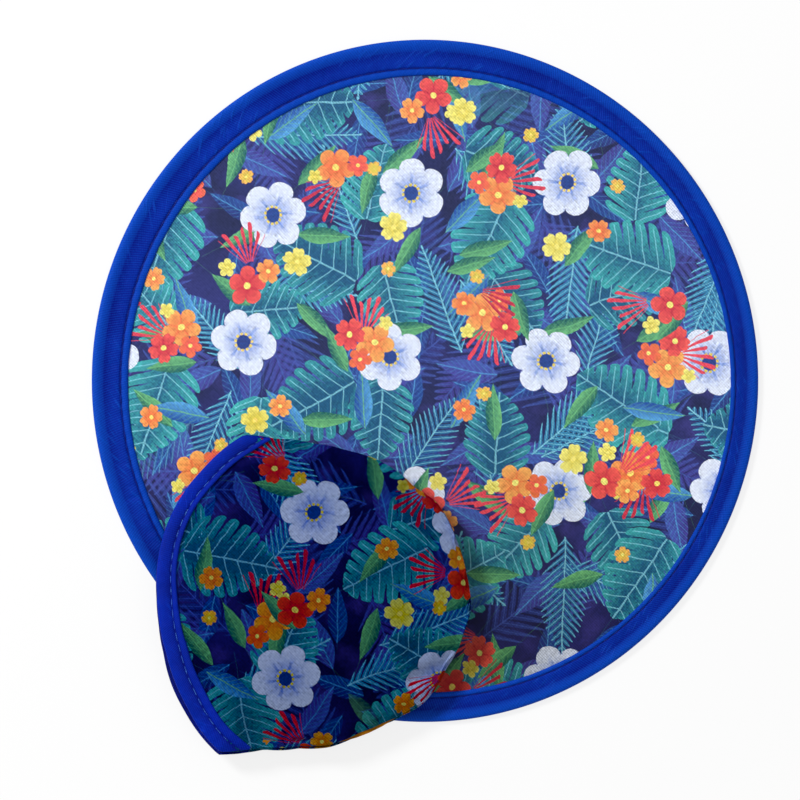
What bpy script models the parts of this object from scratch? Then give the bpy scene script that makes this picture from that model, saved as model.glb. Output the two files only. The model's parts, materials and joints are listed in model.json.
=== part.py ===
# A collapsible twist fan lying open and flat, face up, with its round pouch resting on it.
# Metres, +Z up. The floor is z = 0, and the origin is under the middle of the whole object's box.
# The fan is a printed cloth disc in a sprung steel hoop, which a folded tape covers.
# The hoop and its tape are made in short runs, so that the ring can coil up into three loops.
import math

import bmesh
import bpy
from mathutils import Matrix, Vector

# Common sizes
CLEARANCE = 0.0003
TAPE_THICKNESS = 0.0005
MERGE_DISTANCE = 0.00005
SHARP_ANGLE = math.radians(35.0)

# Fan ring
FAN_RADIUS = 0.125
FAN_CLOTH_THICKNESS = 0.0003
HOOP_HEIGHT = 0.0010
HOOP_THICKNESS = 0.0005
HOOP_END_GAP = 0.0004
SPLICE_LENGTH = 0.020
SPLICE_THICKNESS = 0.0004
BINDING_WIDTH = 0.0124
CASING_CROWN_WIDTH = 0.0027
CASING_SLOPE_WIDTH = 0.0038
CASING_EDGE_ROUND = 0.0006
CLOTH_TUCK = 0.0072

# The ring's runs and the way they coil up
RUN_COUNT = 18
ROOT_RUN_ANGLE = math.radians(62.0)
COIL_TILT = math.radians(1.2)
STEPS_PER_RUN = 5
CLOTH_SIDES = 120

# Pouch, laid on the fan's lower left; local +X points out of its mouth
POUCH_CLOTH_THICKNESS = 0.0005
POUCH_RADIUS = 0.0567
POUCH_CORNER_OVERHANG = 0.0093
MOUTH_BOW = 0.0279
POUCH_PUFF = 0.0055
FRONT_MOUTH_LIFT = 0.0040
BACK_MOUTH_LIFT = 0.0049
POUCH_BINDING_WIDTH = 0.0075
POUCH_GAP = 0.0007
SEAM_INSET = 0.0014
SEAM_WIDTH = 0.0030
BACK_SHIFT = 0.0010
POUCH_CENTRE_X = -0.0429
POUCH_CENTRE_Y = -0.0806
POUCH_CORNER_ANGLE = math.radians(63.8)
MOUTH_DIRECTION = math.radians(176.2)
MOUTH_SPREAD = math.radians(78.0)
CUT_OVERRUN_ANGLE = math.radians(6.0)
SEAM_END_ANGLE = math.radians(12.0)
EDGE_ROUNDNESS_SHARE = 0.6
RING_CROWDING_SHARE = 1.5
PANEL_RINGS = 7
PANEL_SIDES = 60
POUCH_BINDING_STEPS = 20
SEAM_STEPS = 40

# Worked out from the sizes above
RUN_ANGLE = math.tau / RUN_COUNT
HOOP_OUTER_RADIUS = FAN_RADIUS - TAPE_THICKNESS - CLEARANCE
HOOP_INNER_RADIUS = HOOP_OUTER_RADIUS - HOOP_THICKNESS
HINGE_RADIUS = (HOOP_OUTER_RADIUS + HOOP_INNER_RADIUS) / 2
CHANNEL_HALF = HOOP_HEIGHT / 2 + CLEARANCE
CASING_HALF = CHANNEL_HALF + TAPE_THICKNESS
SLOT_HALF = FAN_CLOTH_THICKNESS / 2 + CLEARANCE
FLANGE_HALF = SLOT_HALF + TAPE_THICKNESS
MID_HEIGHT = CASING_HALF
SEAM_HALF = POUCH_CLOTH_THICKNESS / 2 + CLEARANCE / 2
POUCH_BELLY = POUCH_PUFF + POUCH_CLOTH_THICKNESS / 2
POUCH_MID_HEIGHT = 2 * CASING_HALF + POUCH_GAP + POUCH_BELLY
POUCH_SLOT_HALF = POUCH_CLOTH_THICKNESS / 2 + CLEARANCE
POUCH_FLANGE_HALF = POUCH_SLOT_HALF + TAPE_THICKNESS
CORNER_REACH = POUCH_RADIUS + POUCH_CORNER_OVERHANG
CHORD_REACH = CORNER_REACH * math.cos(POUCH_CORNER_ANGLE)
CHORD_HALF = CORNER_REACH * math.sin(POUCH_CORNER_ANGLE)
POUCH_MOUTH_RADIUS = (CHORD_HALF**2 + MOUTH_BOW**2) / (2 * MOUTH_BOW)
MOUTH_CENTRE = CHORD_REACH + MOUTH_BOW - POUCH_MOUTH_RADIUS
TANGENT_ANGLE = POUCH_CORNER_ANGLE + math.acos(POUCH_RADIUS / CORNER_REACH)


def new_collection(name):
    collection = bpy.data.collections.new(name)
    bpy.context.scene.collection.children.link(collection)
    return collection


def new_material(name, color, roughness, metallic=0.0):
    material = bpy.data.materials.new(name)
    material.use_nodes = True
    shader = material.node_tree.nodes["Principled BSDF"]
    shader.inputs["Base Color"].default_value = (*color, 1.0)
    shader.inputs["Roughness"].default_value = roughness
    shader.inputs["Metallic"].default_value = metallic
    material.diffuse_color = (*color, 1.0)
    return material


def add_object(name, mesh, collection, material):
    if not mesh.materials:
        mesh.materials.append(material)
    piece = bpy.data.objects.new(name, mesh)
    collection.objects.link(piece)
    return piece


def finish_mesh(name, work):
    bmesh.ops.recalc_face_normals(work, faces=work.faces)
    mesh = bpy.data.meshes.new(name)
    work.to_mesh(mesh)
    work.free()
    return mesh


def shade_round(mesh):
    mesh.shade_smooth()
    mesh.set_sharp_from_angle(angle=SHARP_ANGLE)


def spin_profile(name, profile, angle, steps):
    """A closed outline of (radius, height) points turned about Z from 0 to an angle, with both ends capped."""
    work = bmesh.new()
    corners = [work.verts.new((radius, 0.0, height)) for radius, height in profile]
    face = work.faces.new(corners)
    geometry = [face, *face.edges, *face.verts]
    bmesh.ops.spin(
        work, geom=geometry, cent=(0.0, 0.0, 0.0), axis=(0.0, 0.0, 1.0), angle=angle, steps=steps
    )
    mesh = finish_mesh(name, work)
    shade_round(mesh)
    return mesh


def spin_line(reaches, angle, steps):
    """A flat sheet: a line of points along X, turned about Z from 0 to an angle."""
    work = bmesh.new()
    points = [work.verts.new((reach, 0.0, 0.0)) for reach in reaches]
    edges = [work.edges.new(pair) for pair in zip(points, points[1:])]
    bmesh.ops.spin(
        work,
        geom=[*points, *edges],
        cent=(0.0, 0.0, 0.0),
        axis=(0.0, 0.0, 1.0),
        angle=angle,
        steps=steps,
    )
    bmesh.ops.remove_doubles(work, verts=work.verts, dist=MERGE_DISTANCE)
    return work


def solidify(piece, thickness):
    wall = piece.modifiers.new("Wall", "SOLIDIFY")
    wall.thickness = thickness
    wall.offset = 0.0
    wall.use_even_offset = True


# Placing: each piece hangs on an empty that stands on its joint's axis
world_of = {}


def add_empty(name, world, parent, collection):
    empty = bpy.data.objects.new(name, None)
    empty.empty_display_size = CASING_CROWN_WIDTH
    collection.objects.link(empty)
    place(empty, world, parent)
    return empty


def place(piece, world, parent=None):
    world_of[piece.name] = world
    if parent is None:
        piece.matrix_world = world
        return
    piece.parent = parent
    piece.matrix_local = world_of[parent.name].inverted() @ world


# Fan ring: the casing's section, from the inner edge of its upper leg and round
def casing_profile():
    outer = FAN_RADIUS
    crown_in = outer - CASING_CROWN_WIDTH
    slope_in = crown_in - CASING_SLOPE_WIDTH
    edge_in = outer - BINDING_WIDTH
    shoulder_share = 1 - math.sqrt(0.5)
    shoulder = CASING_EDGE_ROUND * shoulder_share
    upper_skin = [
        (edge_in, FLANGE_HALF),
        (slope_in, FLANGE_HALF),
        (crown_in, CASING_HALF),
        (outer - CASING_EDGE_ROUND, CASING_HALF),
        (outer - shoulder, CASING_HALF - shoulder),
        (outer, CASING_HALF - CASING_EDGE_ROUND),
    ]
    upper_lining = [
        (outer - TAPE_THICKNESS, CHANNEL_HALF),
        (crown_in, CHANNEL_HALF),
        (slope_in, SLOT_HALF),
        (edge_in, SLOT_HALF),
    ]
    lower_skin = [(radius, -height) for radius, height in reversed(upper_skin)]
    lower_lining = [(radius, -height) for radius, height in reversed(upper_lining)]
    return upper_skin + lower_skin + lower_lining + upper_lining


def strip_profile(inner, outer, half_height):
    return [(inner, half_height), (outer, half_height), (outer, -half_height), (inner, -half_height)]


def run_mesh(name, profile, end_gap, arc=RUN_ANGLE):
    """One run of the ring, from its own hinge at the mesh's origin, along an arc that starts at angle 0."""
    gap_angle = end_gap / HINGE_RADIUS
    mesh = spin_profile(name, profile, arc - gap_angle, STEPS_PER_RUN)
    mesh.transform(Matrix.Rotation((RUN_ANGLE - arc + gap_angle) / 2, 4, "Z"))
    mesh.transform(Matrix.Translation((-HINGE_RADIUS, 0.0, 0.0)))
    return mesh


def hinge_matrix(fan_centre, run):
    """Where a run starts: at the hinge, with X outward and Y along the ring."""
    angle = ROOT_RUN_ANGLE + (run - 0.5) * RUN_ANGLE
    outward = Vector((math.cos(angle), math.sin(angle), 0.0))
    spot = fan_centre + outward * HINGE_RADIUS
    return Matrix.Translation(spot) @ Matrix.Rotation(angle, 4, "Z")


def build_ring(fan_centre, parts, guides, materials):
    casing = run_mesh("binding_run", casing_profile(), CLEARANCE)
    hoop_outline = strip_profile(HOOP_INNER_RADIUS, HOOP_OUTER_RADIUS, HOOP_HEIGHT / 2)
    hoop = run_mesh("hoop_run", hoop_outline, HOOP_END_GAP)
    tilt = Matrix.Rotation(-COIL_TILT, 4, "X")
    parent = add_empty("fan_base", Matrix.Translation(fan_centre), None, guides)
    for run in range(RUN_COUNT):
        world = hinge_matrix(fan_centre, run)
        if run:
            parent = add_empty(f"fold_axis_{run + 1:02d}", world @ tilt, parent, guides)
        place(add_object(f"binding_{run + 1:02d}", casing, parts, materials["binding"]), world, parent)
        place(add_object(f"hoop_link_{run + 1:02d}", hoop, parts, materials["steel"]), world, parent)


def build_splice(fan_centre, parts, materials):
    """The plate that joins the hoop's two ends, against the hoop's inner side."""
    outer = HOOP_INNER_RADIUS - CLEARANCE
    outline = strip_profile(outer - SPLICE_THICKNESS, outer, HOOP_HEIGHT / 2)
    splice = run_mesh("hoop_splice", outline, 0.0, SPLICE_LENGTH / outer)
    piece = add_object("hoop_splice", splice, parts, materials["steel"])
    place(piece, hinge_matrix(fan_centre, 0), bpy.data.objects["fan_base"])


def build_fan_cloth(fan_centre, parts, materials):
    bpy.ops.mesh.primitive_cylinder_add(
        vertices=CLOTH_SIDES,
        radius=FAN_RADIUS - BINDING_WIDTH + CLOTH_TUCK,
        depth=FAN_CLOTH_THICKNESS,
    )
    cloth = bpy.context.active_object
    cloth.name = cloth.data.name = "fan_cloth"
    shade_round(cloth.data)
    cloth.data.materials.append(materials["print"])
    for holder in list(cloth.users_collection):
        holder.objects.unlink(cloth)
    parts.objects.link(cloth)
    place(cloth, Matrix.Translation(fan_centre), bpy.data.objects["fan_base"])


# Pouch: one outline in the local plane, and one height over it
def outline_reach(angle):
    """How far the pouch's edge lies from its middle, at an angle from the mouth's direction."""
    turn = abs(math.remainder(angle, math.tau))
    if turn <= POUCH_CORNER_ANGLE:
        across = MOUTH_CENTRE * math.sin(turn)
        return MOUTH_CENTRE * math.cos(turn) + math.sqrt(POUCH_MOUTH_RADIUS**2 - across**2)
    if turn < TANGENT_ANGLE:
        return POUCH_RADIUS / math.cos(TANGENT_ANGLE - turn)
    return POUCH_RADIUS


def mouth_share(angle):
    turn = abs(math.remainder(angle, math.tau))
    return math.cos(math.pi / 2 * turn / MOUTH_SPREAD) if turn < MOUTH_SPREAD else 0.0


def puff_height(spot, mouth_lift):
    """Height of a panel's middle surface over the pouch's middle plane."""
    angle = math.atan2(spot.y, spot.x)
    share = min(1.0, math.hypot(spot.x, spot.y) / outline_reach(angle))
    mouth = mouth_share(angle)
    edge = SEAM_HALF + (mouth_lift - SEAM_HALF) * mouth
    roundness = EDGE_ROUNDNESS_SHARE + (1 - EDGE_ROUNDNESS_SHARE) * mouth
    return edge + (POUCH_PUFF - edge) * (1 - share**2) ** roundness


def drape(mesh, mouth_lift):
    for vertex in mesh.vertices:
        vertex.co.z += puff_height(vertex.co, mouth_lift)


def panel_mesh(name, mouth_lift):
    """A disc of rings stretched out to the pouch's edge, then raised. At the mouth it stops inside its tape."""
    tuck = TAPE_THICKNESS + CLEARANCE
    shares = [1 - (ring / PANEL_RINGS) ** RING_CROWDING_SHARE for ring in range(PANEL_RINGS + 1)]
    work = spin_line(shares, math.tau, PANEL_SIDES)
    for vertex in work.verts:
        angle = math.atan2(vertex.co.y, vertex.co.x)
        short = tuck if abs(angle) <= POUCH_CORNER_ANGLE else 0.0
        vertex.co *= outline_reach(angle) - short
    mesh = finish_mesh(name, work)
    drape(mesh, mouth_lift)
    return mesh


def cut_at_chord(mesh, keep_mouth, solid=False):
    """Keeps one side of the line between the mouth's corners. A solid's cut ends are closed again."""
    work = bmesh.new()
    work.from_mesh(mesh)
    side = CLEARANCE / 2 if keep_mouth else -CLEARANCE / 2
    bmesh.ops.bisect_plane(
        work,
        geom=[*work.verts, *work.edges, *work.faces],
        plane_co=(CHORD_REACH + side, 0.0, 0.0),
        plane_no=(1.0, 0.0, 0.0),
        clear_inner=keep_mouth,
        clear_outer=not keep_mouth,
    )
    if solid:
        bmesh.ops.holes_fill(work, edges=work.edges)
    return finish_mesh(mesh.name, work)


def mouth_binding_mesh(name, mouth_lift):
    """Folded tape round the mouth's edge: turned about the mouth arc's centre, then raised with the panel."""
    outer = POUCH_MOUTH_RADIUS
    inner = outer - POUCH_BINDING_WIDTH
    lining = outer - TAPE_THICKNESS
    profile = [
        (inner, POUCH_FLANGE_HALF),
        (lining, POUCH_FLANGE_HALF),
        (outer, POUCH_SLOT_HALF),
        (outer, -POUCH_SLOT_HALF),
        (lining, -POUCH_FLANGE_HALF),
        (inner, -POUCH_FLANGE_HALF),
        (inner, -POUCH_SLOT_HALF),
        (lining, -POUCH_SLOT_HALF),
        (lining, POUCH_SLOT_HALF),
        (inner, POUCH_SLOT_HALF),
    ]
    reach = math.asin(CHORD_HALF / POUCH_MOUTH_RADIUS) + CUT_OVERRUN_ANGLE
    mesh = spin_profile(name, profile, 2 * reach, POUCH_BINDING_STEPS)
    mesh.transform(Matrix.Rotation(-reach, 4, "Z"))
    mesh.transform(Matrix.Translation((MOUTH_CENTRE, 0.0, 0.0)))
    mesh = cut_at_chord(mesh, keep_mouth=True, solid=True)
    drape(mesh, mouth_lift)
    return mesh


def seam_mesh(name):
    """The turned-in seam allowance: a flat strip just inside the sewn edge."""
    start = POUCH_CORNER_ANGLE + SEAM_END_ANGLE
    outer = POUCH_RADIUS - SEAM_INSET
    work = spin_line([outer - SEAM_WIDTH, outer], math.tau - 2 * start, SEAM_STEPS)
    bmesh.ops.rotate(work, verts=work.verts, matrix=Matrix.Rotation(start, 3, "Z"))
    for vertex in work.verts:
        angle = math.atan2(vertex.co.y, vertex.co.x)
        vertex.co += vertex.co.normalized() * (outline_reach(angle) - POUCH_RADIUS)
    return finish_mesh(name, work)


def build_pouch(fan_centre, parts, guides, materials):
    spot = Vector((fan_centre.x + POUCH_CENTRE_X, fan_centre.y + POUCH_CENTRE_Y, POUCH_MID_HEIGHT))
    front = Matrix.Translation(spot) @ Matrix.Rotation(MOUTH_DIRECTION, 4, "Z")
    under = front @ Matrix.Translation((0.0, BACK_SHIFT, 0.0)) @ Matrix.Scale(-1, 4, (0.0, 0.0, 1.0))
    crest = puff_height(Vector((CHORD_REACH, 0.0, 0.0)), FRONT_MOUTH_LIFT) + POUCH_CLOTH_THICKNESS / 2
    lip_axis = front @ Matrix.Translation((CHORD_REACH, 0.0, crest))
    holder = add_empty("pouch_lift_axis", front, None, guides)
    lip = add_empty("pouch_mouth_axis", lip_axis, holder, guides)

    def add(name, mesh, material, parent, world, thickness=None):
        mesh.transform(world_of[parent.name].inverted() @ world)
        piece = add_object(name, mesh, parts, materials[material])
        place(piece, world_of[parent.name], parent)
        shade_round(mesh)
        if thickness:
            solidify(piece, thickness)

    def cloth(name, mesh, parent, world):
        add(name, mesh, "pouch_print", parent, world, POUCH_CLOTH_THICKNESS)

    panel = cut_at_chord(panel_mesh("pouch_front_panel", FRONT_MOUTH_LIFT), keep_mouth=False)
    cloth("pouch_front_panel", panel, holder, front)
    lip_panel = cut_at_chord(panel_mesh("pouch_lip_panel", FRONT_MOUTH_LIFT), keep_mouth=True)
    cloth("pouch_lip_panel", lip_panel, lip, front)
    back = panel_mesh("pouch_back_panel", BACK_MOUTH_LIFT)
    cloth("pouch_back_panel", back, holder, under)
    back.flip_normals()
    lip_binding = mouth_binding_mesh("pouch_front_binding", FRONT_MOUTH_LIFT)
    add("pouch_front_binding", lip_binding, "binding", lip, front)
    back_binding = mouth_binding_mesh("pouch_back_binding", BACK_MOUTH_LIFT)
    add("pouch_back_binding", back_binding, "binding", holder, under)
    back_binding.flip_normals()
    cloth("pouch_seam", seam_mesh("pouch_seam"), holder, front)


def pouch_low_edge():
    """How far below the fan's middle the pouch reaches, in the plane."""
    turn = Matrix.Rotation(MOUTH_DIRECTION, 2)
    corner = turn @ Vector((CHORD_REACH, CHORD_HALF + BACK_SHIFT))
    return POUCH_CENTRE_Y + corner.y


def main():
    for old in list(bpy.data.objects):
        bpy.data.objects.remove(old, do_unlink=True)
    parts = new_collection("collapsible_twist_fan")
    guides = new_collection("guides")
    materials = {
        "binding": new_material("binding", (0.010, 0.055, 0.42), 0.45),
        "steel": new_material("steel", (0.55, 0.56, 0.58), 0.35, 1.0),
        "print": new_material("print", (0.05, 0.09, 0.20), 0.75),
        "pouch_print": new_material("pouch_print", (0.02, 0.04, 0.12), 0.75),
    }
    fan_centre = Vector((0.0, -(FAN_RADIUS + pouch_low_edge()) / 2, MID_HEIGHT))
    build_ring(fan_centre, parts, guides, materials)
    build_splice(fan_centre, parts, materials)
    build_fan_cloth(fan_centre, parts, materials)
    build_pouch(fan_centre, parts, guides, materials)


main()
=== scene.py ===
import json
import math
import bmesh
import bpy
import numpy as np
from mathutils import Matrix, Vector


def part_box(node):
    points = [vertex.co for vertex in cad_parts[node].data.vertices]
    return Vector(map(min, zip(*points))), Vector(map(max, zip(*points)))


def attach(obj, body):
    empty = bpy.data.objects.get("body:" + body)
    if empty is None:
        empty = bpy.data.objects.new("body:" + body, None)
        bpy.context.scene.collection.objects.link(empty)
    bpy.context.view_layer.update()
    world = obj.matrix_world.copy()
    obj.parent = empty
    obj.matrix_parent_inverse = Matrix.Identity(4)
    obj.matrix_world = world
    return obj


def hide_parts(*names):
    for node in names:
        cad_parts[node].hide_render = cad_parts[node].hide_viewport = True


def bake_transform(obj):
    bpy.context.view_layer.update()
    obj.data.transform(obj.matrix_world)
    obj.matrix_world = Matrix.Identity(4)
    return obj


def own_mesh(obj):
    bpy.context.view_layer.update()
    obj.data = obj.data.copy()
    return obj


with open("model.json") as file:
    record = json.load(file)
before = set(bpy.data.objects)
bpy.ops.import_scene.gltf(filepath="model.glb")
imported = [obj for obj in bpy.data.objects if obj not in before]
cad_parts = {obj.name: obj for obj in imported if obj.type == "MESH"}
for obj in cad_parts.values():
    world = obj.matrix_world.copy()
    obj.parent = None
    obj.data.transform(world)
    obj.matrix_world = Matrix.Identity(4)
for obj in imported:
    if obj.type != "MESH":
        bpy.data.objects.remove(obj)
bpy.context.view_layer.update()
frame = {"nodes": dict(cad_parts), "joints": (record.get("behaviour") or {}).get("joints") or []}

mm = 0.001


def paint(*tones):
    # a colour as the eye reads it, 0 to 255, turned into the linear values that shaders take
    shares = [tone / 255 for tone in tones]
    return (*[c / 12.92 if c <= 0.04045 else ((c + 0.055) / 1.055) ** 2.4 for c in shares], 1)


# What the frame says about the fan: where its middle is, how wide it opens, how its ring is jointed
clothLow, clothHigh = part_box("fan_cloth")
fanMiddle = (Vector(clothLow) + Vector(clothHigh)) / 2
runs = 18  # of hoop between the solid model's hinges, with a wedge of cloth to each
fanRadius = fanMiddle.x - min(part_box(f"binding_{k:02d}")[0][0] for k in range(1, runs + 1))
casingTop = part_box("binding_01")[1][2]
hinges = {joint["name"]: joint for joint in frame["joints"]}
linkNames = ["fan_base"] + [f"link_{k:02d}" for k in range(2, runs + 1)]
linkAngle = math.tau / runs
firstHinge = Vector(hinges["fold_coil"]["pos_m"]) - fanMiddle
hingeRadius = firstHinge.xy.length
# where the ring is open, at the first run's free end
openEnd = math.atan2(firstHinge.y, firstHinge.x) - linkAngle

photo = {"fanX": 425, "fanY": 380, "fanRadius": 335, "middle": 400, "side": 800}
metresPerPixel = fanRadius / photo["fanRadius"]


def fromPhoto(px, py):
    # a place in the photograph, as metres from the fan's middle
    return (px - photo["fanX"]) * metresPerPixel, (photo["fanY"] - py) * metresPerPixel


# The open hoop doesn't lie quite round: it is a little narrower and taller than a circle, and its rim
# hangs lower. The cloth is sewn in a little off the middle, so the tape is wider on one side.
ovalHoop = {
    "across": 0.9945,
    "along": 1.018,
    "drop": 0.3 * mm,
    "offMiddle": (1.68 * mm, -1.18 * mm),
    "spread": 0.0045,
    # how far out the fan's middle, the tape's sewn edge and the hoop's casing lie, as shares of its radius
    "sewnShares": (0.0, 0.90, 0.965),
}


def ovalOf(spots, atCasing=0):
    # places on a round fan, moved to where the real one has them; atCasing is how much of the sewn edge's
    # move is left at the hoop's casing: all of it for the cloth, none for the hoop and the tape round it
    s = ovalHoop
    spots = np.array(spots) - fanMiddle
    reach = np.hypot(spots[..., 0], spots[..., 1]) / fanRadius
    sewn = np.asarray(np.interp(reach, s["sewnShares"], (0, 1, atCasing)))[..., None]
    spots *= (s["across"], s["along"], 1)
    spots[..., 1] -= s["drop"] * reach
    spots[..., :2] *= 1 + s["spread"] * sewn
    spots[..., :2] += sewn * s["offMiddle"]
    return spots + fanMiddle


def spotsOf(mesh):
    spots = np.empty(len(mesh.vertices) * 3)
    mesh.vertices.foreach_get("co", spots)
    return spots.reshape(-1, 3)


def makeOval(mesh, atCasing=0):
    mesh.vertices.foreach_set("co", ovalOf(spotsOf(mesh), atCasing).ravel())


class field:
    # a value in a node tree that ordinary arithmetic works on
    def __init__(self, tree, socket):
        self.tree = tree
        self.socket = socket

    def maths(self, operation, *others):
        node = self.tree.nodes.new("ShaderNodeMath")
        node.operation = operation
        for slot, value in zip(node.inputs, (self, *others)):
            plug(self.tree, slot, value)
        return field(self.tree, node.outputs[0])

    def __add__(self, other):
        return self.maths("ADD", other)

    def __sub__(self, other):
        return self.maths("SUBTRACT", other)

    def __mul__(self, other):
        return self.maths("MULTIPLY", other)

    def __truediv__(self, other):
        return self.maths("DIVIDE", other)

    def __pow__(self, other):
        return self.maths("POWER", other)

    def __rsub__(self, other):
        return self * -1 + other

    __radd__ = __add__
    __rmul__ = __mul__

    def __abs__(self):
        return self.maths("ABSOLUTE")

    def clamped(self):
        return valueOf(self.tree, "ShaderNodeClamp", {"Value": self})

    def edge(self, softness):
        # 1 where the value is above zero, 0 below, over a soft edge
        inputs = {"Value": self, "From Min": softness * -0.5, "From Max": softness * 0.5}
        return valueOf(self.tree, "ShaderNodeMapRange", inputs, interpolation_type="SMOOTHSTEP")


def plug(tree, slot, value):
    if isinstance(value, field):
        tree.links.new(value.socket, slot)
    elif value is not None:
        slot.default_value = value


def addNode(tree, kind, inputs=None, **settings):
    node = tree.nodes.new(kind)
    for name, value in settings.items():
        setattr(node, name, value)
    for name, value in (inputs or {}).items():
        plug(tree, node.inputs[name], value)
    return node


def valueOf(tree, kind, inputs=None, output=0, **settings):
    return field(tree, addNode(tree, kind, inputs, **settings).outputs[output])


def combine(tree, x, y, z=0.0):
    return valueOf(tree, "ShaderNodeCombineXYZ", {"X": x, "Y": y, "Z": z})


def separate(tree, vector):
    node = addNode(tree, "ShaderNodeSeparateXYZ", {0: vector})
    return [field(tree, out) for out in node.outputs]


def noiseOf(tree, vector, scale, detail=2.0):
    return valueOf(tree, "ShaderNodeTexNoise", {"Vector": vector, "Scale": scale, "Detail": detail}, "Fac")


def mixColour(tree, amount, low, high, blend="MIX"):
    inputs = {"Factor": amount, 6: low, 7: high}
    return valueOf(tree, "ShaderNodeMix", inputs, 2, data_type="RGBA", blend_type=blend)


def newMaterial(name):
    material = bpy.data.materials.new(name)
    material.use_nodes = True
    return material, material.node_tree


def finishMaterial(material, looks, bump=None):
    # bump is a height, how strong it is and how deep
    tree = material.node_tree
    if bump:
        looks["Normal"] = valueOf(tree, "ShaderNodeBump", dict(zip(("Height", "Strength", "Distance"), bump)))
    for name, value in looks.items():
        plug(tree, tree.nodes["Principled BSDF"].inputs[name], value)
    return material


def objectPlace(tree):
    return valueOf(tree, "ShaderNodeTexCoord", output="Object")


def readPlace(tree):
    # where a point lies on its flat cloth or tape, in metres, kept with the mesh
    return valueOf(tree, "ShaderNodeAttribute", output="Vector", attribute_name="clothPlace")


def storePlace(mesh, places):
    found = mesh.attributes.get("clothPlace")
    attribute = found or mesh.attributes.new("clothPlace", "FLOAT_VECTOR", "POINT")
    attribute.data.foreach_set("vector", np.asarray(places, dtype=np.float32).ravel())


def newObject(name, mesh, material=None):
    piece = bpy.data.objects.new(name, mesh)
    bpy.context.scene.collection.objects.link(piece)
    if material:
        mesh.materials.clear()
        mesh.materials.append(material)
    return piece


def plainMesh(piece):
    # what the modifiers make of a piece, as a mesh of its own, with the modifiers gone
    bpy.context.view_layer.update()
    made = bpy.data.meshes.new_from_object(piece.evaluated_get(bpy.context.evaluated_depsgraph_get()))
    piece.modifiers.clear()
    piece.data = made
    return made


def thicken(piece, thickness):
    wall = piece.modifiers.new("thickness", "SOLIDIFY")
    wall.thickness = thickness
    wall.offset = 0
    return plainMesh(piece)


def growNodes(piece, tree, values):
    modifier = piece.modifiers.new(tree.name, "NODES")
    modifier.node_group = tree
    for item in tree.interface.items_tree:
        if item.item_type == "SOCKET" and item.in_out == "INPUT" and item.name in values:
            modifier[item.identifier] = values[item.name]
    return plainMesh(piece)


def motifGroup(name, inputs, outputs, build):
    # a node group with named inputs, whose inside is what build makes of them
    tree = bpy.data.node_groups.new(name, "ShaderNodeTree")
    for side, sockets in (("INPUT", inputs), ("OUTPUT", outputs)):
        for label in sockets.split():
            kind = "Color" if label.startswith("tone") else "Float"
            tree.interface.new_socket(label, in_out=side, socket_type=f"NodeSocket{kind}")
    source = tree.nodes.new("NodeGroupInput")
    sink = tree.nodes.new("NodeGroupOutput")
    made = build(tree, *[field(tree, source.outputs[label]) for label in inputs.split()])
    for slot, value in zip(sink.inputs, made):
        plug(tree, slot, value)

    def use(*values):
        host = values[0].tree
        node = addNode(host, "ShaderNodeGroup", node_tree=tree)
        for slot, value in zip(node.inputs, values):
            plug(host, slot, value)
        return [field(host, out) for out in node.outputs]

    return use


def geometryTree(name, values):
    # a tree with an input for each value that it will be given
    tree = bpy.data.node_groups.new(name, "GeometryNodeTree")
    tree.interface.new_socket("Geometry", in_out="INPUT", socket_type="NodeSocketGeometry")
    for label, value in values.items():
        kind = {float: "Float", int: "Int"}.get(type(value), "Material")
        tree.interface.new_socket(label, in_out="INPUT", socket_type=f"NodeSocket{kind}")
    tree.interface.new_socket("Geometry", in_out="OUTPUT", socket_type="NodeSocketGeometry")
    source = tree.nodes.new("NodeGroupInput")
    sink = tree.nodes.new("NodeGroupOutput")
    return tree, {label: field(tree, source.outputs[label]) for label in ("Geometry", *values)}, sink


def finishShape(tree, sink, shape, material, smooth=False):
    shape = valueOf(tree, "GeometryNodeRealizeInstances", {0: shape})
    if smooth:
        shape = valueOf(tree, "GeometryNodeSetShadeSmooth", {0: shape})
    plug(tree, sink.inputs[0], valueOf(tree, "GeometryNodeSetMaterial", {0: shape, "Material": material}))
    return tree


def closeMesh(mesh, weld=0):
    # caps a mesh's open ends, joins points that lie together, and turns its faces outwards
    work = bmesh.new()
    work.from_mesh(mesh)
    bmesh.ops.holes_fill(work, edges=work.edges)
    if weld:
        bmesh.ops.remove_doubles(work, verts=work.verts, dist=weld)
        bmesh.ops.dissolve_degenerate(work, edges=work.edges, dist=weld / 4)
    bmesh.ops.recalc_face_normals(work, faces=work.faces)
    work.to_mesh(mesh)
    work.free()


def quadsBetween(rows, columns, first=0, closed=False):
    # the four corners of each face between rows of points; closed rows run round to their start
    faces = []
    for row in range(rows - 1):
        start = first + row * columns
        for here in range(columns if closed else columns - 1):
            after = (here + 1) % columns
            faces.append((start + here, start + after, start + columns + after, start + columns + here))
    return faces


def shadeRound(mesh, degrees=35):
    mesh.shade_smooth()
    mesh.set_sharp_from_angle(angle=math.radians(degrees))


stageSettings = {
    "cameraHeight": 3.2,
    "sensor": 36.0,
    "clipEnd": 100,
    "floor": {"sides": 96, "radius": 6, "sink": 0.02 * mm, "tone": 0.92, "roughness": 0.9, "glow": 0.80},
    "worldLight": 0.40,
    # place from the picture's middle, power, width
    "lamps": {"keyLamp": ((-1.00, 0.72, 1.05), 22.0, 0.42), "fillLamp": ((0.5, -0.2, 1.9), 5.0, 1.6)},
}


def addLamp(name, aim):
    place, power, size = stageSettings["lamps"][name]
    light = bpy.data.lights.new(name, "AREA")
    light.shape = "DISK"
    light.size = size
    light.energy = power
    lamp = bpy.data.objects.new(name, light)
    bpy.context.scene.collection.objects.link(lamp)
    lamp.location = aim + Vector(place)
    lamp.rotation_euler = (-Vector(place)).to_track_quat("-Z", "Y").to_euler()


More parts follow.
